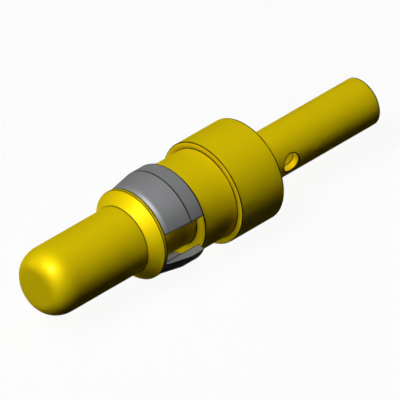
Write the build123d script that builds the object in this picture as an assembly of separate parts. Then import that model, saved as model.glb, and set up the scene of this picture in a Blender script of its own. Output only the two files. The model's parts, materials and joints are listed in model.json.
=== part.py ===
from build123d import *
from math import radians, sin, tan
import os

# Crimp pin contact for a high-power cavity of a mixed-layout connector.
# Two pieces: a turned, gold-plated body and a grey spring clip, open on one side, in the body's groove.
# Millimetres. The axis is X, with +X towards the pin's nose, and +Z is up.
# The origin is the centre of the flange's front face, which seats in the insulator.
# The clip's gap and the inspection hole look towards +Y.

# Body, from the nose back to the wire end
pin_diameter = 3.6
pin_length = 5.9  # from the nose's tip to the foot of the collar's chamfer
nose_flat_diameter = 1.8
nose_length = 1.2  # the oval stretch between the pin's side and the flat
collar_diameter = 4.8
collar_land = 0.2  # straight band between the groove and the chamfer
collar_chamfer_angle = 45.0  # between the chamfer and the axis
groove_diameter = 3.55
groove_length = 2.6
shank_diameter = 4.8
shank_length = 2.2
flange_diameter = 5.5
flange_length = 2.9
barrel_diameter = 2.6
barrel_length = 8.2

# Wire bore and inspection hole
bore_diameter = 1.7
bore_depth = 7.0  # full-diameter depth from the barrel's mouth
bore_lead_in = 0.15
drill_point_angle = 118.0
inspection_diameter = 1.0
inspection_setback = 2.0  # from the flange's rear face to the hole's centre

# Spring clip
clip_lip_clearance = 0.125  # from the lip's bore to the groove's floor
clip_lip_wall = 0.44  # at the front face, before its edge is rounded
clip_lip_length = 1.2
clip_cone_angle = 10.0  # between the cone and the axis
clip_band_length = 0.9  # the straight part behind the cone
clip_band_wall = 0.425
clip_end_play = 0.1  # from the clip's rear edge to the groove's rear wall
clip_gap_angle = 46.0
clip_front_radius = 0.4

edge_break = 0.05  # on every other outer edge

# Stations along X
groove_rear = shank_length
collar_rear = groove_rear + groove_length
chamfer_rear = collar_rear + collar_land
chamfer_length = (collar_diameter - pin_diameter) / 2 / tan(radians(collar_chamfer_angle))
pin_root = chamfer_rear + chamfer_length
nose_tip = pin_root + pin_length
nose_start = nose_tip - nose_length
flange_rear = -flange_length
barrel_mouth = flange_rear - barrel_length
bore_floor = barrel_mouth + bore_depth
bore_point = bore_floor + bore_diameter / 2 / tan(radians(drill_point_angle / 2))
inspection_x = flange_rear - inspection_setback

# The clip bears on the collar's rear face and stops short of the groove's rear wall
clip_front = collar_rear
clip_rear = groove_rear + clip_end_play
clip_cone_start = clip_rear + clip_band_length
clip_step = clip_front - clip_lip_length

# The clip's diameters, from the groove's floor outwards
clip_lip_diameter = groove_diameter + 2 * clip_lip_clearance
clip_front_diameter = clip_lip_diameter + 2 * clip_lip_wall
clip_cone_rise = (clip_front - clip_cone_start) * tan(radians(clip_cone_angle))
clip_band_diameter = clip_front_diameter + 2 * clip_cone_rise
clip_skirt_diameter = clip_band_diameter - 2 * clip_band_wall


def at(x, diameter):
    """A corner of a half section, by its place along the axis and its diameter."""
    return x, diameter / 2


def turned(corners, breaks, rounds=(), ovals=()):
    """Turns a half section about X, once ovals are joined on and other corners are rounded or broken."""
    with BuildPart() as piece:
        with BuildSketch(Plane.XZ) as section:
            with BuildLine():
                Polyline(*corners, close=True)
            make_face()
            for centre, along, across in ovals:
                with BuildLine():
                    oval = EllipticalCenterArc(centre, along, across, arc_size=90)
                    Line(oval @ 0, oval @ 1)
                make_face()
            for corner, radius in rounds:
                fillet(section.vertices().sort_by_distance((*corner, 0))[0], radius)
            for corner in breaks:
                chamfer(section.vertices().sort_by_distance((*corner, 0))[0], edge_break)
        revolve(axis=Axis.X)
    return piece.part


def turned_blank():
    """Pin, collar, groove, shank, flange and crimp barrel with its bore, in one half section."""
    collar_edge = at(collar_rear, collar_diameter)
    shank_edge = at(groove_rear, shank_diameter)
    flange_front_edge = at(0, flange_diameter)
    flange_rear_edge = at(flange_rear, flange_diameter)
    mouth_edge = at(barrel_mouth, barrel_diameter)
    nose_oval = at(nose_start, nose_flat_diameter), nose_length, (pin_diameter - nose_flat_diameter) / 2
    corners = [
        at(nose_tip, 0),
        at(nose_tip, nose_flat_diameter),
        at(nose_start, pin_diameter),
        at(pin_root, pin_diameter),
        at(chamfer_rear, collar_diameter),
        collar_edge,
        at(collar_rear, groove_diameter),
        at(groove_rear, groove_diameter),
        shank_edge,
        at(0, shank_diameter),
        flange_front_edge,
        flange_rear_edge,
        at(flange_rear, barrel_diameter),
        mouth_edge,
        at(barrel_mouth, bore_diameter + 2 * bore_lead_in),
        at(barrel_mouth + bore_lead_in, bore_diameter),
        at(bore_floor, bore_diameter),
        at(bore_point, 0),
    ]
    breaks = [collar_edge, shank_edge, flange_front_edge, flange_rear_edge, mouth_edge]
    return turned(corners, breaks, ovals=[nose_oval])


def contact_body():
    """The turned blank with the hole that shows whether the wire is fully home."""
    from_axis = (Align.CENTER, Align.CENTER, Align.MIN)
    drill = Cylinder(inspection_diameter / 2, barrel_diameter, rotation=(-90, 0, 0), align=from_axis)
    return turned_blank() - Pos(inspection_x, 0, 0) * drill


def clip_gap():
    """What the clip's gap takes out: a wedge through the skirt and a parallel slot through the lip."""
    reach = clip_band_diameter
    half_angle = radians(clip_gap_angle / 2)
    half_spread = reach * tan(half_angle)
    wedge = make_face(Polyline((0, 0), (reach, -half_spread), (reach, half_spread), close=True))
    slot = Pos(reach / 2, 0) * Rectangle(reach, clip_skirt_diameter * sin(half_angle))
    return extrude(Plane.YZ.offset(clip_rear) * (wedge + slot), clip_front - clip_rear)


def retention_clip():
    """Straight rear band, cone towards the nose, rounded front edge and thicker front lip."""
    front_edge = at(clip_front, clip_front_diameter)
    rear_edge = at(clip_rear, clip_band_diameter)
    corners = [
        at(clip_front, clip_lip_diameter),
        front_edge,
        at(clip_cone_start, clip_band_diameter),
        rear_edge,
        at(clip_rear, clip_skirt_diameter),
        at(clip_step, clip_skirt_diameter),
        at(clip_step, clip_lip_diameter),
    ]
    return turned(corners, [rear_edge], rounds=[(front_edge, clip_front_radius)]) - clip_gap()


os.makedirs("parts", exist_ok=True)
export_step(contact_body(), "parts/contact_body.step")
export_step(retention_clip(), "parts/retention_clip.step")
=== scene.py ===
import json
from math import asin, atan2, ceil, cos, degrees, hypot, pi, radians, sin, sqrt, tan

import bmesh
import bpy
import numpy as np
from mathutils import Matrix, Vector


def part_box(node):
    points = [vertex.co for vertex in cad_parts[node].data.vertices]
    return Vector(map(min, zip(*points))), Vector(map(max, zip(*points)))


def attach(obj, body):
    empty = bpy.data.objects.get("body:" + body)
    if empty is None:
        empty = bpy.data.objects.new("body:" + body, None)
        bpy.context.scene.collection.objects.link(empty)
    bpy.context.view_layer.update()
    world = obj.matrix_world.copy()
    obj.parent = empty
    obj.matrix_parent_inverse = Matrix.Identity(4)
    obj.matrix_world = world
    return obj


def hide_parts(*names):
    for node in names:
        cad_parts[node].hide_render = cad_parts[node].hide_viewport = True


# A gold-plated crimp pin contact with its spring clip, lying level on a pale floor.
# Sizes are in millimetres and angles in degrees, until a mesh, lamp or camera is made from them.
# The axis is X with the nose towards +X. The clip's gap and the inspection hole look towards +Y.

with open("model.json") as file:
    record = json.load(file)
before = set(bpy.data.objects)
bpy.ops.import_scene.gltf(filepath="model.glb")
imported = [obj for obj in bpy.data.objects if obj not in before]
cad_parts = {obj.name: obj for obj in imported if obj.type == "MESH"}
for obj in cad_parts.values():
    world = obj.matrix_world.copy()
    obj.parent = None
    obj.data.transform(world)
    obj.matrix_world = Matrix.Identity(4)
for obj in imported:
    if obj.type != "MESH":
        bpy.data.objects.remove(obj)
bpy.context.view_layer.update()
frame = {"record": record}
mounts = {mount["name"]: mount["dims"] for mount in frame["record"]["mounts"]}
mm = 0.001


def plug(tree, socket, value):
    if isinstance(value, bpy.types.NodeSocket):
        tree.links.new(value, socket)
    else:
        socket.default_value = value


def put(tree, kind, sockets=None, **settings):
    fresh = tree.nodes.new(kind)
    for name, value in settings.items():
        setattr(fresh, name, value)
    for name, value in (sockets or {}).items():
        plug(tree, fresh.inputs[name], value)
    return fresh


def calculated(tree, operation, *values):
    return put(tree, "ShaderNodeMath", dict(enumerate(values)), operation=operation).outputs[0]


def scaled(tree, vector, factor):
    return put(tree, "ShaderNodeVectorMath", {0: vector, "Scale": factor}, operation="SCALE").outputs[0]


def mapped(tree, value, low, high, start=0.0, end=1.0):
    # low at the value start and high at the value end, straight in between and level beyond
    sockets = {"Value": value, "From Min": start, "From Max": end, "To Min": low, "To Max": high}
    return put(tree, "ShaderNodeMapRange", sockets).outputs["Result"]


# Half sections: what every turned outline here is drawn with

section = {
    "edgeRadius": 0.03,    # on every corner that isn't a form of its own
    "lineReach": 0.02,     # how far the painted dark line goes on past an arc's end
    "lineFade": 0.012,     # from there to where the line has faded
    "shadeReach": 0.28,    # how far the painted shade of a deep corner goes
    "arcStep": 15.0,       # degrees between the points of a small arc
    "formStep": 3.0,       # the same for the nose and the clip's front
    "formRadius": 0.2,     # from this radius on, a corner is a form and gets no painted dark line
    "plainStep": 0.4,      # longest stretch of a straight run
    "slack": 0.001,        # how much longer a stretch may be, in shares of its step
}
# the point attribute for painted dark lines and painted shade: 1 on the painted lines along edges and in
# corners, the share of painted shade where a surface is painted darker, else 0
lineName = "paintedLineAndShade"


def corner(x, radius, rounding=None, line=1.0, shade=0.0, step=None):
    # a corner of a half section. Its painted dark line is in shares of lineReach. Its painted shade and
    # its step hold from here on.
    rounding = section["edgeRadius"] if rounding is None else rounding
    return Vector((x, radius)), rounding, line * section["lineReach"], shade, step or section["plainStep"]


def oval(x, radius, along, across):
    # a quarter oval of plain corners, with a point close before and behind it
    support = section["lineReach"]
    steps = round(90 / section["formStep"])
    turns = [pi / 2 * k / steps for k in range(steps + 1)]
    arc = [corner(x + along * cos(turn), radius + across * sin(turn), 0) for turn in turns]
    return [corner(x + along, radius - support, 0), *arc, corner(x - support, radius + across, 0)]


def roundedCorner(before, here, after, rounding, lineReach, shades):
    # the points of one corner: an arc, on both sides of it where its painted dark line ends, and after it
    # where its painted shade fades out
    shadeBefore, shadeAfter = shades
    back = (before - here).normalized()
    ahead = (after - here).normalized()
    half = back.angle(ahead) / 2
    reach = rounding / tan(half)
    centre = here + (back + ahead).normalized() * rounding / sin(half)
    isForm = rounding >= section["formRadius"]
    line = 0.0 if isForm else 1.0
    turn = pi - 2 * half
    steps = ceil(degrees(turn) / section["formStep" if isForm else "arcStep"])
    first = here + back * reach - centre
    last = here + ahead * reach - centre
    sideways = (last - first * cos(turn)) / sin(turn)
    arc = [(centre + first * cos(turn * k / steps) + sideways * sin(turn * k / steps), line)
           for k in range(steps + 1)]
    beside = reach + lineReach
    clear = beside + section["lineFade"]
    points = [(here + back * clear, shadeBefore), (here + back * beside, line), *arc,
              (here + ahead * beside, line), (here + ahead * clear, shadeAfter)]
    if shadeAfter:
        points.append((here + ahead * section["shadeReach"], 0.0))
    return points


def roundedOutline(corners, closed):
    # the whole half section as (x, radius, line), with its long runs divided
    points = []
    steps = []
    for k, (here, rounding, lineReach, shade, step) in enumerate(corners):
        if rounding:
            before, roundingBefore, _, shadeBefore, _ = corners[k - 1]
            if roundingBefore:
                shadeBefore = 0.0   # only a plain corner's painted shade goes on as far as here
            after = corners[(k + 1) % len(corners)][0]
            made = roundedCorner(before, here, after, rounding, lineReach, (shadeBefore, shade))
        else:
            made = [(here, shade)]
        points += made
        steps += [section["plainStep"]] * (len(made) - 1) + [step]
    if closed:
        points.append(points[0])
    outline = []
    for (start, startLine), (end, endLine), step in zip(points, points[1:], steps):
        parts = max(1, ceil((end - start).length / step - section["slack"]))
        for k in range(parts):
            share = k / parts
            outline.append((*start.lerp(end, share), startLine + (endLine - startLine) * share))
    outline.append((*points[-1][0], points[-1][1]))
    return outline


# Geometry Nodes: turns an outline about X

def turningTree():
    # each outline point goes once round X, from its own start angle to the same angle before a full turn
    tree = bpy.data.node_groups.new("turnedPiece", "GeometryNodeTree")
    face = tree.interface
    face.new_socket("Outline", in_out="INPUT", socket_type="NodeSocketGeometry")
    face.new_socket("Segments", in_out="INPUT", socket_type="NodeSocketInt")
    face.new_socket("Weld distance", in_out="INPUT", socket_type="NodeSocketFloat")
    face.new_socket("Finish", in_out="INPUT", socket_type="NodeSocketMaterial")
    face.new_socket("Piece", in_out="OUTPUT", socket_type="NodeSocketGeometry")
    given = put(tree, "NodeGroupInput").outputs
    size = put(tree, "GeometryNodeAttributeDomainSize", {"Geometry": given["Outline"]}, component="MESH")
    stations = size.outputs["Point Count"]
    ringCount = calculated(tree, "ADD", given["Segments"], 1.0)
    grid = put(tree, "GeometryNodeMeshGrid", {"Vertices X": stations, "Vertices Y": ringCount})
    index = put(tree, "GeometryNodeInputIndex").outputs["Index"]
    station = calculated(tree, "FLOOR", calculated(tree, "DIVIDE", index, ringCount))
    step = calculated(tree, "MODULO", index, ringCount)

    def sampled(kind, value):
        return put(tree, "GeometryNodeSampleIndex",
                   {"Geometry": given["Outline"], "Value": value, "Index": station},
                   data_type=kind).outputs["Value"]

    def stored(name):
        named = put(tree, "GeometryNodeInputNamedAttribute", {"Name": name}, data_type="FLOAT")
        return named.outputs["Attribute"]

    place = sampled("FLOAT_VECTOR", put(tree, "GeometryNodeInputPosition").outputs["Position"])
    start = sampled("FLOAT", stored("startAngle"))
    line = sampled("FLOAT", stored(lineName))
    share = calculated(tree, "DIVIDE", step, given["Segments"])
    angle = mapped(tree, share, start, calculated(tree, "SUBTRACT", 2 * pi, start))
    spun = put(tree, "ShaderNodeVectorRotate", {"Vector": place, "Angle": angle},
               rotation_type="X_AXIS").outputs["Vector"]
    shaped = put(tree, "GeometryNodeSetPosition", {"Geometry": grid.outputs["Mesh"], "Position": spun})
    marked = put(tree, "GeometryNodeStoreNamedAttribute",
                 {"Geometry": shaped.outputs["Geometry"], "Name": lineName, "Value": line},
                 data_type="FLOAT", domain="POINT")
    welded = put(tree, "GeometryNodeMergeByDistance",
                 {"Geometry": marked.outputs["Geometry"], "Distance": given["Weld distance"]})
    real = put(tree, "GeometryNodeRealizeInstances", {"Geometry": welded.outputs["Geometry"]})
    finished = put(tree, "GeometryNodeSetMaterial",
                   {"Geometry": real.outputs["Geometry"], "Material": given["Finish"]})
    put(tree, "NodeGroupOutput", {"Piece": finished.outputs["Geometry"]})
    return tree


turning = {
    "segments": 180,
    "weldDistance": 0.0001,
}
turnedPiece = turningTree()


def turned(name, outline, startAngles, finish):
    # runs the tree on an outline and gives the plain mesh that comes out, as a bmesh in millimetres
    mesh = bpy.data.meshes.new(name + "Outline")
    edges = [(k, k + 1) for k in range(len(outline) - 1)]
    mesh.from_pydata([(x * mm, radius * mm, 0) for x, radius, _ in outline], edges, [])
    for attribute, values in ((lineName, [line for _, _, line in outline]), ("startAngle", startAngles)):
        mesh.attributes.new(attribute, "FLOAT", "POINT").data.foreach_set("value", values)
    holder = bpy.data.objects.new(name + "Outline", mesh)
    bpy.context.scene.collection.objects.link(holder)
    modifier = holder.modifiers.new("turned", "NODES")
    modifier.node_group = turnedPiece
    inputs = {
        "Segments": turning["segments"],
        "Weld distance": turning["weldDistance"] * mm,
        "Finish": finish,
    }
    for item in turnedPiece.interface.items_tree:
        if item.name in inputs:
            modifier[item.identifier] = inputs[item.name]
    bpy.context.view_layer.update()
    made = bpy.data.meshes.new_from_object(holder.evaluated_get(bpy.context.evaluated_depsgraph_get()))
    holder.modifiers.remove(modifier)
    bpy.data.objects.remove(holder)
    piece = bmesh.new()
    piece.from_mesh(made)
    bpy.data.meshes.remove(made)
    bmesh.ops.scale(piece, vec=Vector((1, 1, 1)) / mm, verts=piece.verts)
    return piece


def finishPiece(name, piece, finish, node):
    # closes the mesh work, puts the piece in the frame and lets it stand for its CAD node
    bmesh.ops.recalc_face_normals(piece, faces=piece.faces)
    for face in piece.faces:
        face.smooth = len(face.verts) <= 4   # all but the flats of the clip's ends
    bmesh.ops.scale(piece, vec=Vector((mm, mm, mm)), verts=piece.verts)
    mesh = bpy.data.meshes.new(name)
    piece.to_mesh(mesh)
    piece.free()
    mesh.materials.clear()
    mesh.materials.append(finish)
    made = bpy.data.objects.new(name, mesh)
    bpy.context.scene.collection.objects.link(made)
    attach(made, "root")
    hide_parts(node)
    print(f"{name}: {len(mesh.vertices)} points, {len(mesh.polygons)} faces")
    return made


# Finishes, all on Object coordinates

def turnedCoordinates(tree, alongTurn):
    # a place on a turned surface for 4D noise: x and the two parts of the angle, with the radius as W.
    # A small alongTurn draws the pattern out round the axis, as a cutting tool or rolling leaves it.
    place = put(tree, "ShaderNodeTexCoord").outputs["Object"]
    place = scaled(tree, place, 1 / mm)
    parts = put(tree, "ShaderNodeSeparateXYZ", {0: place}).outputs
    outward = put(tree, "ShaderNodeCombineXYZ", {"Y": parts["Y"], "Z": parts["Z"]}).outputs[0]
    radius = put(tree, "ShaderNodeVectorMath", {0: outward}, operation="LENGTH").outputs["Value"]
    heading = put(tree, "ShaderNodeVectorMath", {0: outward}, operation="NORMALIZE").outputs[0]
    heading = scaled(tree, heading, alongTurn)
    along = put(tree, "ShaderNodeCombineXYZ", {"X": parts["X"]}).outputs[0]
    vector = put(tree, "ShaderNodeVectorMath", {0: along, 1: heading}, operation="ADD").outputs[0]
    return place, vector, radius


# the noise that breaks up the painted dark lines and the painted shade
lineLook = {
    "strength": 1.0,
    "faintest": 0.85,            # the strength in the line's faint patches
    "patchScale": 1.5,           # patches per millimetre, about
    "patchDetail": 2.0,
    "patchRange": (0.35, 0.6),   # the noise over which a patch goes from faint to strong
}


def paintedLineAndShadeMask(tree, place):
    # the painted dark line of edges and corners, with the painted shade of corners and hollows, a little
    # broken up
    look = lineLook
    line = put(tree, "ShaderNodeAttribute", attribute_name=lineName).outputs["Fac"]
    patches = put(tree, "ShaderNodeTexNoise",
                  {"Vector": place, "Scale": look["patchScale"], "Detail": look["patchDetail"]})
    noise = patches.outputs["Fac"]
    strength = mapped(tree, noise, look["faintest"], look["strength"], *look["patchRange"])
    return calculated(tree, "MULTIPLY", line, strength)


def mixed(tree, factor, first, second):
    made = put(tree, "ShaderNodeMix", data_type="RGBA")
    plug(tree, made.inputs["Factor"], factor)
    for socket, value in zip([s for s in made.inputs if s.type == "RGBA"], (first, second)):
        plug(tree, socket, value)
    return next(s for s in made.outputs if s.type == "RGBA")


def newMaterial(name):
    material = bpy.data.materials.new(name)
    material.use_nodes = True
    tree = material.node_tree
    tree.nodes.clear()
    return material, tree


goldLook = {
    "colour": (0.80, 0.61, 0.002, 1),
    "deepColour": (0.76, 0.57, 0.0015, 1),   # where the plating is a shade warmer
    # the colour of the painted dark lines and the painted shade
    "paintedDarkColour": (0.015, 0.011, 0.002, 1),
    "metallic": 0.015,
    "specular": 0.0,
    "coat": 0.003,
    "coatRoughness": 0.31,
    "roughness": (0.60, 0.67),
    "ringScale": 10.0,         # turning rings per millimetre, about
    "ringDetail": 3.0,
    "ringGrain": 0.6,
    "ringRange": (0.3, 0.7),   # the noise over which the roughness goes from one end to the other
    "ringDepth": 0.0006,
    "ringStretch": 0.05,
    "cloudScale": 0.5,
    "cloudDetail": 2.0,
}


def goldPlating():
    look = goldLook
    material, tree = newMaterial("satinGoldPlating")
    place, vector, radius = turnedCoordinates(tree, look["ringStretch"])
    rings = put(tree, "ShaderNodeTexNoise",
                {"Vector": vector, "W": radius, "Scale": look["ringScale"],
                 "Detail": look["ringDetail"], "Roughness": look["ringGrain"]},
                noise_dimensions="4D").outputs["Fac"]
    clouds = put(tree, "ShaderNodeTexNoise",
                 {"Vector": place, "Scale": look["cloudScale"], "Detail": look["cloudDetail"]})
    plating = mixed(tree, clouds.outputs["Fac"], look["colour"], look["deepColour"])
    # painted dark lines on edges and painted shade in corners, the groove and the bore, mixed over the
    # plating's colour
    colour = mixed(tree, paintedLineAndShadeMask(tree, place), plating, look["paintedDarkColour"])
    rough = mapped(tree, rings, *look["roughness"], *look["ringRange"])
    bump = put(tree, "ShaderNodeBump", {"Height": rings, "Distance": look["ringDepth"] * mm})
    shader = put(tree, "ShaderNodeBsdfPrincipled",
                 {"Base Color": colour, "Metallic": look["metallic"], "Roughness": rough,
                  "Specular IOR Level": look["specular"], "Normal": bump.outputs["Normal"],
                  "Coat Weight": look["coat"], "Coat Roughness": look["coatRoughness"]})
    put(tree, "ShaderNodeOutputMaterial", {"Surface": shader.outputs["BSDF"]})
    return material


springLook = {
    "colour": (0.255, 0.255, 0.262, 1),
    "paleColour": (0.295, 0.295, 0.303, 1),
    # the colour of the painted dark lines on the clip
    "paintedDarkColour": (0.012, 0.012, 0.013, 1),
    "metallic": 0.015,
    "specular": 0.0,
    "roughness": (0.52, 0.60),
    "streakScale": 12.0,
    "streakDetail": 4.0,
    "streakGrain": 0.6,
    "streakRange": (0.3, 0.7),
    "streakDepth": 0.0008,
    "streakStretch": 0.12,
}


def springMetal():
    look = springLook
    material, tree = newMaterial("greySpringMetal")
    place, vector, radius = turnedCoordinates(tree, look["streakStretch"])
    streaks = put(tree, "ShaderNodeTexNoise",
                  {"Vector": vector, "W": radius, "Scale": look["streakScale"],
                   "Detail": look["streakDetail"], "Roughness": look["streakGrain"]},
                  noise_dimensions="4D").outputs["Fac"]
    rolled = mixed(tree, streaks, look["colour"], look["paleColour"])
    # painted dark lines on the clip's edges, mixed over the metal's colour
    colour = mixed(tree, paintedLineAndShadeMask(tree, place), rolled, look["paintedDarkColour"])
    rough = mapped(tree, streaks, *look["roughness"], *look["streakRange"])
    bump = put(tree, "ShaderNodeBump", {"Height": streaks, "Distance": look["streakDepth"] * mm})
    shader = put(tree, "ShaderNodeBsdfPrincipled",
                 {"Base Color": colour, "Metallic": look["metallic"], "Roughness": rough,
                  "Specular IOR Level": look["specular"], "Normal": bump.outputs["Normal"]})
    put(tree, "ShaderNodeOutputMaterial", {"Surface": shader.outputs["BSDF"]})
    return material


# Contact body: the turned piece, then the inspection hole through one wall of the barrel

bodyLow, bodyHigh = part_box("contact_body")
body = {
    "noseTip": bodyHigh.x / mm,
    "barrelMouth": bodyLow.x / mm,
    "pinRadius": mounts["contact_pin"]["r_mm"],
    "pinLength": 5.9,
    "noseFlatRadius": 0.9,
    "noseLength": 1.2,
    "collarRadius": 2.4,
    "collarLand": 0.2,
    "chamferLength": 0.6,
    "grooveRadius": 1.775,
    "grooveLength": 2.6,
    "groovePaintedShadeLength": 0.8,   # the rear part of the groove's floor, where the painted shade is darkest
    "shankRadius": 2.4,
    "flangeRadius": mounts["flange_rim"]["r_mm"],
    "flangeLength": 2.9,
    "barrelRadius": mounts["crimp_barrel"]["r_mm"],
    "boreRadius": mounts["crimp_bore"]["r_mm"],
    "boreDepth": 7.0,
    "boreLeadIn": 0.15,
    "drillPointAngle": 118.0,
    "borePaintedShadePlace": 2.5,      # from the mouth to where the bore's painted shade is darkest
}
bodyLines = {
    # widths of painted dark lines, in shares of the plain one
    "pinRoot": 0.8,
    "chamferRear": 0.5,
    "collarEdge": 2.6,
    "shankRoot": 0.3,
    "flangeFrontEdge": 0.7,
    "flangeRearEdge": 2.2,
    "mouthEdge": 2.2,
}
bodyPaintedShades = {
    # painted shade: how much darker the plating is painted here, from 0 to 1
    "grooveFloor": 0.55,
    "grooveRear": 0.3,
    "shankRoot": 0.5,
    "bore": 0.65,
    "besideHole": 0.3,
}
hole = {
    "radius": 0.5,
    "setback": 2.0,        # from the flange's rear face to the hole's centre
    "edgeRadius": 0.03,
    "lineReach": 0.03,     # how far the painted dark line goes on past both rims
    "windowLength": 1.4,   # the part of the wall whose grid is pulled round the hole
    "windowCells": 24,     # from the hole's centre to the window's edge
    "rimCells": 12,        # the same for the square of the grid that becomes the rim
    "arcSteps": 4,
    "wallSteps": 4,
}


def bodyOutline():
    b = body
    lines = bodyLines
    shades = bodyPaintedShades
    cell = hole["windowLength"] / 2 / hole["windowCells"]
    flangeRear = -b["flangeLength"]
    holeCentre = flangeRear - hole["setback"]
    windowFront = holeCentre + hole["windowLength"] / 2
    windowRear = holeCentre - hole["windowLength"] / 2
    noseStart = b["noseTip"] - b["noseLength"]
    pinRoot = b["noseTip"] - b["pinLength"]
    chamferRear = pinRoot - b["chamferLength"]
    collarRear = chamferRear - b["collarLand"]
    grooveRear = collarRear - b["grooveLength"]
    boreFloor = b["barrelMouth"] + b["boreDepth"]
    borePoint = boreFloor + b["boreRadius"] / tan(radians(b["drillPointAngle"] / 2))
    corners = [
        corner(b["noseTip"], 0, 0),
        *oval(noseStart, b["noseFlatRadius"], b["noseLength"], b["pinRadius"] - b["noseFlatRadius"]),
        corner(pinRoot, b["pinRadius"], line=lines["pinRoot"]),
        corner(chamferRear, b["collarRadius"], line=lines["chamferRear"]),
        corner(collarRear, b["collarRadius"], line=lines["collarEdge"]),
        corner(collarRear, b["grooveRadius"]),
        # painted shade on the rear of the groove's floor and on the foot of its rear wall
        corner(grooveRear + b["groovePaintedShadeLength"], b["grooveRadius"], 0, shade=shades["grooveFloor"]),
        corner(grooveRear, b["grooveRadius"], shade=shades["grooveRear"]),
        corner(grooveRear, b["shankRadius"]),
        # painted dark line in the shank's root, and painted shade on the flange's front face beside it
        corner(0, b["shankRadius"], line=lines["shankRoot"], shade=shades["shankRoot"]),
        corner(0, b["flangeRadius"], line=lines["flangeFrontEdge"]),
        corner(flangeRear, b["flangeRadius"], line=lines["flangeRearEdge"]),
        corner(flangeRear, b["barrelRadius"]),
        corner(windowFront, b["barrelRadius"], 0, step=cell),
        corner(windowRear, b["barrelRadius"], 0),
        corner(b["barrelMouth"], b["barrelRadius"], line=lines["mouthEdge"]),
        corner(b["barrelMouth"], b["boreRadius"] + b["boreLeadIn"]),
        corner(b["barrelMouth"] + b["boreLeadIn"], b["boreRadius"]),
        # painted shade inside the bore: darkest some way in from the mouth and at the drill point, lighter
        # beside the hole
        corner(b["barrelMouth"] + b["borePaintedShadePlace"], b["boreRadius"], 0, shade=shades["bore"]),
        corner(windowRear, b["boreRadius"], 0, shade=shades["besideHole"], step=cell),
        corner(windowFront, b["boreRadius"], 0, shade=shades["besideHole"]),
        corner(boreFloor, b["boreRadius"]),
        corner(borePoint, 0, 0, shade=shades["bore"]),
    ]
    return roundedOutline(corners, closed=False), holeCentre, cell


def openWindow(piece, wallRadius, holeCentre, cell):
    # pulls the wall's square grid into circles round the hole, empties them and gives the rim's points
    line = piece.verts.layers.float[lineName]
    reach = hole["windowCells"]
    rim = hole["rimCells"]
    turn = 2 * pi / turning["segments"]
    rimRadius = hole["radius"] + hole["edgeRadius"]
    lineRadius = rimRadius + hole["lineReach"]
    circles = [rimRadius, lineRadius, lineRadius + section["lineFade"]]
    last = rim + len(circles) - 1
    near = cell / 4
    window = {}
    for vert in piece.verts:
        x, y, z = vert.co
        across = (x - holeCentre) / cell
        around = atan2(z, y) / turn
        if abs(hypot(y, z) - wallRadius) < near and max(abs(across), abs(around)) < reach + 0.5:
            window[round(across), round(around)] = vert
    for (i, j), vert in window.items():
        ring = max(abs(i), abs(j))
        if ring < rim:
            continue
        heading = atan2(j, i)
        radius = circles[min(ring, last) - rim]
        share = max(0, ring - last) / (reach - last)
        circle = Vector((radius * cos(heading), asin(radius * sin(heading) / wallRadius)))
        square = Vector((i * cell, j * turn)) * reach / ring
        across, angle = circle.lerp(square, share)
        vert.co = holeCentre + across, wallRadius * cos(angle), wallRadius * sin(angle)
        # the first circles round the hole carry a painted dark line along the rim
        if ring < last:
            vert[line] = 1.0
    inside = [vert for (i, j), vert in window.items() if max(abs(i), abs(j)) < rim]
    edge = [vert for (i, j), vert in window.items() if max(abs(i), abs(j)) == rim]
    bmesh.ops.delete(piece, geom=inside, context="VERTS")
    return sorted(edge, key=lambda vert: atan2(vert.co.z, vert.co.x - holeCentre))


def drillHole(piece, holeCentre, cell):
    # rounds both rims, each with a painted dark line, and lines the hole between them
    line = piece.verts.layers.float[lineName]
    outer = openWindow(piece, body["barrelRadius"], holeCentre, cell)
    inner = openWindow(piece, body["boreRadius"], holeCentre, cell)
    headings = [atan2(vert.co.z, vert.co.x - holeCentre) for vert in outer]
    rounding = hole["edgeRadius"]

    def ringOf(height, radius, mark):
        ring = []
        for heading in headings:
            across = radius * cos(heading)
            up = radius * sin(heading)
            vert = piece.verts.new((holeCentre + across, height(up), up))
            vert[line] = mark
            ring.append(vert)
        return ring

    def wallHeight(wallRadius, up):
        return sqrt(wallRadius ** 2 - up ** 2)

    def rimRings(wallRadius, side):
        rings = []
        for k in range(1, hole["arcSteps"] + 1):
            slope = pi / 2 * k / hole["arcSteps"]
            radius = hole["radius"] + rounding * (1 - sin(slope))
            drop = rounding * (1 - cos(slope))
            rings.append(ringOf(lambda up: wallHeight(wallRadius, up) - side * drop, radius, 1.0))
        return rings

    barrel = body["barrelRadius"]
    bore = body["boreRadius"]
    outside = rimRings(barrel, 1)
    inside = rimRings(bore, -1)
    support = hole["lineReach"] + rounding
    fade = support + section["lineFade"]
    lining = [ringOf(lambda up: wallHeight(barrel, up) - support, hole["radius"], 1.0)]
    for k in range(hole["wallSteps"] + 1):
        share = k / hole["wallSteps"]
        lining.append(ringOf(lambda up: (wallHeight(barrel, up) - fade) * (1 - share)
                             + (wallHeight(bore, up) + fade) * share, hole["radius"], 0.0))
    lining.append(ringOf(lambda up: wallHeight(bore, up) + support, hole["radius"], 1.0))
    rings = [outer, *outside, *lining, *reversed(inside), inner]
    for ring, following in zip(rings, rings[1:]):
        for k in range(len(ring)):
            piece.faces.new((ring[k - 1], ring[k], following[k], following[k - 1]))


def makeContactBody(finish):
    outline, holeCentre, cell = bodyOutline()
    piece = turned("contactBody", outline, [0.0] * len(outline), finish)
    drillHole(piece, holeCentre, cell)
    return finishPiece("contactBody", piece, finish, "contact_body")


# Retention clip: turned as far as its gap, then its two ends

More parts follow.
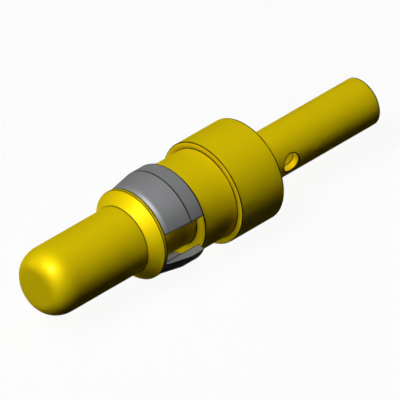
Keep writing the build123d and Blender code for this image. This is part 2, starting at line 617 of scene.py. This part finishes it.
clipLow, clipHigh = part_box("retention_clip")
clip = {
    "rear": clipLow.x / mm,
    "front": clipHigh.x / mm,
    "lipRadius": body["grooveRadius"] + 0.125,
    "lipWall": 0.44,
    "lipLength": 1.2,
    "coneAngle": 10.0,
    "bandLength": 0.9,
    "bandWall": 0.425,
    "frontRounding": 0.4,
    "edgeRounding": 0.05,
    "gapAngle": 46.0,
    "endRounding": 0.022,
    "endSteps": 3,
    "endLine": 0.01,       # how far the painted dark line goes on over the end
    "endFade": 0.015,      # with endRounding and endLine, less than edgeRounding
    "creaseFade": 0.07,    # half the width of the painted dark line between lip and skirt
}
clipLines = {
    # widths of painted dark lines, in shares of the plain one
    "front": 0.5,
    "coneStart": 1.3,
    "rear": 1.4,
}


def clipSizes():
    frontRadius = clip["lipRadius"] + clip["lipWall"]
    coneStart = clip["rear"] + clip["bandLength"]
    bandRadius = frontRadius + (clip["front"] - coneStart) * tan(radians(clip["coneAngle"]))
    return frontRadius, coneStart, bandRadius, bandRadius - clip["bandWall"]


def clipOutline():
    frontRadius, coneStart, bandRadius, skirtRadius = clipSizes()
    step = clip["front"] - clip["lipLength"]
    small = clip["edgeRounding"]
    corners = [
        corner(clip["front"], clip["lipRadius"], small, line=clipLines["front"]),
        corner(clip["front"], frontRadius, clip["frontRounding"], line=clipLines["front"]),
        corner(coneStart, bandRadius, small, line=clipLines["coneStart"]),
        corner(clip["rear"], bandRadius, small, line=clipLines["rear"]),
        corner(clip["rear"], skirtRadius, small),
        corner(step, skirtRadius, small),
        corner(step, clip["lipRadius"], small),
    ]
    return roundedOutline(corners, closed=True)


def gapAngle(radius, depth):
    # the angle of the metal at this depth from the end: radial in the skirt, parallel in the lip
    skirtRadius = clipSizes()[3]
    half = radians(clip["gapAngle"] / 2)
    if radius >= skirtRadius:
        return half + depth / radius
    return asin((skirtRadius * sin(half) + depth * cos(half)) / radius)


def insetBy(depth, spots):
    # a closed row of (x, radius) spots, with every stretch of the row moved into the metal by this depth
    along = np.roll(spots, -1, axis=0) - spots
    along /= np.linalg.norm(along, axis=1)[:, None]
    both = along + np.roll(along, 1, axis=0)
    inward = np.stack([-both[:, 1], both[:, 0]], axis=1)
    return spots + inward * (2 * depth / (both ** 2).sum(axis=1))[:, None]


def closeEnd(piece, outline, side):
    # rounds one end of the clip and fills it in: lip and skirt apart, each with a painted dark line round
    # it
    line = piece.verts.layers.float[lineName]
    rounding = clip["endRounding"]
    edge = np.array([point[:2] for point in outline[:-1]])

    def ringOf(spots, depth, mark):
        ring = []
        for x, radius in spots:
            angle = side * gapAngle(radius, depth)
            vert = piece.verts.new((x, radius * cos(angle), radius * sin(angle)))
            vert[line] = mark
            ring.append(vert)
        return ring

    def join(ring, following):
        for k in range(len(ring)):
            piece.faces.new((ring[k - 1], ring[k], following[k], following[k - 1]))

    rings = []
    for k in range(clip["endSteps"] + 1):
        slope = pi / 2 * k / clip["endSteps"]
        rings.append(ringOf(insetBy(rounding * (1 - cos(slope)), edge), rounding * (1 - sin(slope)), 1.0))
    border = insetBy(rounding + clip["endLine"], edge)
    rings.append(ringOf(border, 0.0, 1.0))
    for ring, following in zip(rings, rings[1:]):
        join(ring, following)
    crease = clipSizes()[3]
    inLip = border[:, 1] < crease
    count = len(border)
    first, second = [k for k in range(count) if inLip[k - 1] != inLip[k]]
    flat = insetBy(rounding + clip["endLine"] + clip["endFade"], edge)
    # the lip's flat and the skirt's, which both stop short of the crease between them
    for part in (range(first, second + 1), range(second, first + count + 1)):
        chosen = [k % count for k in part]
        spots = flat[chosen]
        away = -1 if inLip[chosen[1]] else 1
        limit = crease + away * clip["creaseFade"]
        isPast = (spots[:, 1] - limit) * away < 0
        kept = spots[~isPast, 0]
        spots[isPast, 0] = spots[isPast, 0].clip(kept.min(), kept.max())
        spots[isPast, 1] = limit
        inner = ringOf(spots, 0.0, 0.0)
        join([rings[-1][k] for k in chosen], inner)
        piece.faces.new(inner)


def makeRetentionClip(finish):
    outline = clipOutline()
    starts = [gapAngle(radius, clip["endRounding"]) for _, radius, _ in outline]
    piece = turned("retentionClip", outline, starts, finish)
    line = piece.verts.layers.float[lineName]
    # a painted dark line along the rims of the clip's two cut ends
    for edge in piece.edges:
        if edge.is_boundary:
            for vert in edge.verts:
                vert[line] = 1.0
    for side in (1, -1):
        closeEnd(piece, outline, side)
    bmesh.ops.remove_doubles(piece, verts=piece.verts, dist=turning["weldDistance"])
    return finishPiece("retentionClip", piece, finish, "retention_clip")


# Studio: a pale floor, soft lamps and the camera

studio = {
    "floorSize": 6.0,          # metres
    "floorShade": 0.13,        # the part of the floor's white that is lost in a shadow
    "floorGlow": 0.90,         # the rest of the floor's white, which shadows don't touch
    "floorBounce": 0.01,       # the floor's colour for the light that it throws back at the object
    "skyFill": 0.004,
    "lampDistance": 0.35,      # metres
}
lamps = {
    # Sizes in metres. A lamp of 1.2 watts makes a white face turned to it render as white.
    "keyLamp": {"direction": (0.56, 0.01, 0.83), "size": 0.10, "watts": 0.36},
    "fillLamp": {"direction": (0.56, 0.01, 0.83), "size": 0.10, "watts": 0.43, "shadowless": True},
    "glintLamp": {"direction": (0.588, 0.11, 0.80), "size": 0.08, "watts": 57.0,
                  "glintOnly": True, "shadowless": True},
    "rearLamp": {"direction": (-1.0, 0.0, 0.0), "size": 0.10, "watts": 0.60},
    "underLamp": {"direction": (0.0, -0.7, -0.7), "size": 0.10, "watts": 0.35, "shadowless": True},
}


def seenDirectly(tree):
    # 1 for what the camera sees, straight or in metal or glass
    rays = put(tree, "ShaderNodeLightPath").outputs
    seen = calculated(tree, "MAXIMUM", rays["Is Camera Ray"], rays["Is Glossy Ray"])
    return calculated(tree, "MAXIMUM", seen, rays["Is Transmission Ray"])


def makeFloor():
    material, tree = newMaterial("paleFloor")
    seen = seenDirectly(tree)
    shade = studio["floorShade"]
    bounce = studio["floorBounce"]
    glow = mapped(tree, seen, 0.0, studio["floorGlow"])
    shine = put(tree, "ShaderNodeEmission", {"Color": (1, 1, 1, 1), "Strength": glow})
    matt = put(tree, "ShaderNodeBsdfDiffuse",
               {"Color": mixed(tree, seen, (bounce, bounce, bounce, 1), (shade, shade, shade, 1))})
    both = put(tree, "ShaderNodeAddShader", {0: shine.outputs[0], 1: matt.outputs[0]})
    put(tree, "ShaderNodeOutputMaterial", {"Surface": both.outputs[0]})
    material.cycles.emission_sampling = "NONE"
    half = studio["floorSize"] / 2
    height = bodyLow.z
    mesh = bpy.data.meshes.new("floor")
    outline = [(x * half, y * half, height) for x, y in ((-1, -1), (1, -1), (1, 1), (-1, 1))]
    mesh.from_pydata(outline, [], [(0, 1, 2, 3)])
    mesh.materials.append(material)
    floor = bpy.data.objects.new("floor", mesh)
    bpy.context.scene.collection.objects.link(floor)


def makeLamp(name, direction, size, watts, shadowless=False, glintOnly=False):
    data = bpy.data.lights.new(name, "AREA")
    data.shape = "DISK"
    data.size = size
    data.energy = watts
    data.use_shadow = not shadowless
    # with this on, what stands in the way would still dim a shadowless lamp
    data.cycles.use_multiple_importance_sampling = not shadowless
    lamp = bpy.data.objects.new(name, data)
    bpy.context.scene.collection.objects.link(lamp)
    direction = Vector(direction).normalized()
    lamp.location = direction * studio["lampDistance"]
    lamp.rotation_euler = direction.to_track_quat("Z", "Y").to_euler()
    lamp.visible_diffuse = not glintOnly


def makeSky():
    world = bpy.data.worlds.new("studio")
    bpy.context.scene.world = world
    world.use_nodes = True
    tree = world.node_tree
    tree.nodes.clear()
    level = mapped(tree, seenDirectly(tree), studio["skyFill"], 1.0)
    sky = put(tree, "ShaderNodeBackground", {"Color": (1, 1, 1, 1), "Strength": level})
    put(tree, "ShaderNodeOutputWorld", {"Surface": sky.outputs[0]})
    world.cycles.sampling_method = "NONE"


photo = {
    "azimuth": 135.0,
    "elevation": 35.264,       # an isometric view
    "frameWidth": 19.64,       # millimetres across the picture, at the aim
    "aim": (0.196, 0.0, -0.323),
    "lens": 1600.0,            # so long that the view is nearly parallel
    "sensor": 36.0,
    "clip": (0.1, 10.0),       # metres
}


def makeCamera():
    data = bpy.data.cameras.new("camera")
    data.lens = photo["lens"]
    data.sensor_width = photo["sensor"]
    data.clip_start, data.clip_end = photo["clip"]
    camera = bpy.data.objects.new("camera", data)
    bpy.context.scene.collection.objects.link(camera)
    turn = radians(photo["azimuth"])
    rise = radians(photo["elevation"])
    back = Vector((sin(turn) * cos(rise), -cos(turn) * cos(rise), sin(rise)))
    distance = photo["frameWidth"] * mm * photo["lens"] / photo["sensor"]
    camera.location = Vector(photo["aim"]) * mm + back * distance
    camera.rotation_euler = back.to_track_quat("Z", "Y").to_euler()
    bpy.context.scene.camera = camera


makeCamera()
makeFloor()
makeSky()
for name, setup in lamps.items():
    makeLamp(name, **setup)
bpy.context.scene.view_settings.view_transform = "Standard"
print("studio ready")
makeContactBody(goldPlating())
makeRetentionClip(springMetal())
